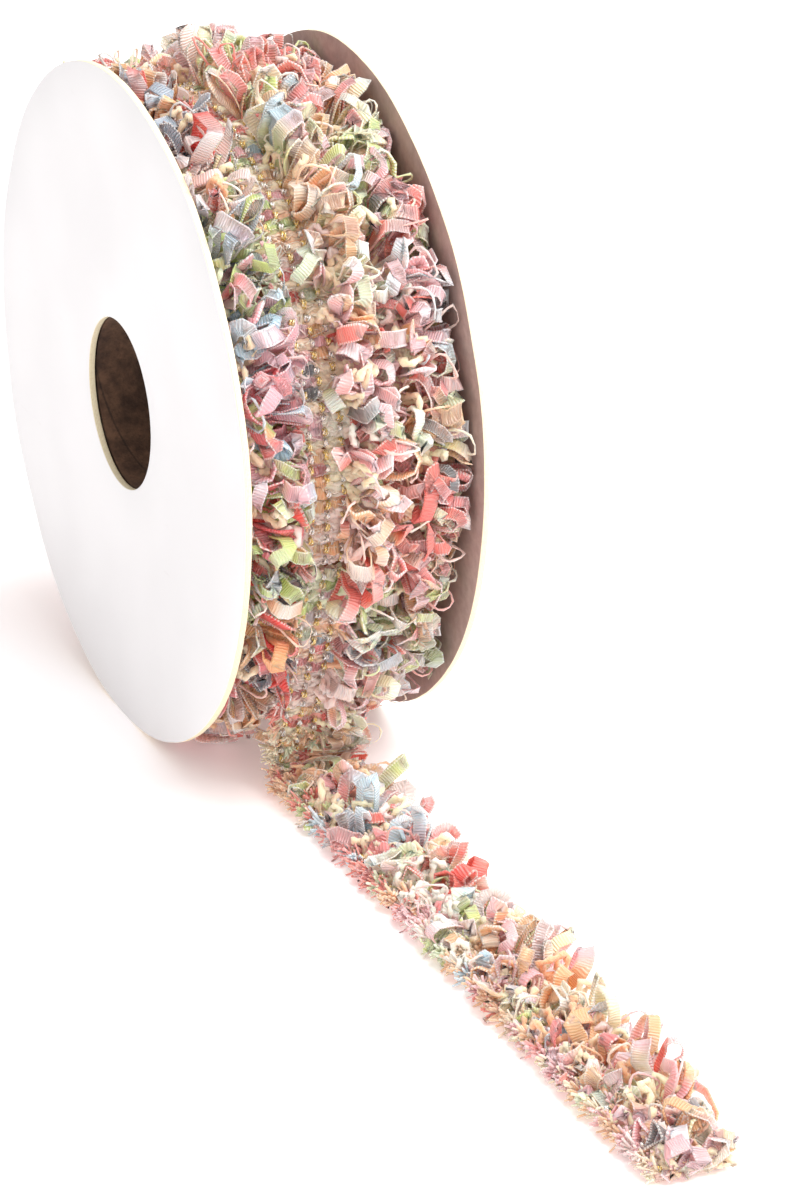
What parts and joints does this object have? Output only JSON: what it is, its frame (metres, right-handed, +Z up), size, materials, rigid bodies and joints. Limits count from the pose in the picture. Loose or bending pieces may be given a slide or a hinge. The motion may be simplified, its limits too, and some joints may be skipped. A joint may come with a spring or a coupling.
{
  "type": "roll of ribbon on a card reel",
  "caption": "Fringed fancy ribbon wound on a round card reel with a central hole, its loose end leaving the front and lying straight out on the surface.",
  "frame": {"origin": "on the surface the reel stands on, under the middle of the whole piece with its loose end laid out", "axes": "+Z up, X along the reel's hole, -Y the way the loose end runs"},
  "size_m": [0.0366, 0.208, 0.0999],
  "materials": {
    "card": "smooth white coated card with a cream cut edge",
    "chipboard": "dull brown spiral-wound chipboard",
    "woven_band": "soft space-dyed weft held by three lines of gold and silver stitches",
    "tape_loops": "satin ladder tape loops in space-dyed coral, pink, peach, green, blue and grey",
    "fluffy_yarn": "matt cream and pink slub yarn, cut and brushed out"
  },
  "bodies": {
    "root": {"flange_near": "card", "flange_far": "card", "core_tube": "chipboard", "ribbon_roll": "tape_loops", "tail_band": "woven_band", "tail_loops": "tape_loops", "tail_brush": "fluffy_yarn"}
  },
  "joints": []
}
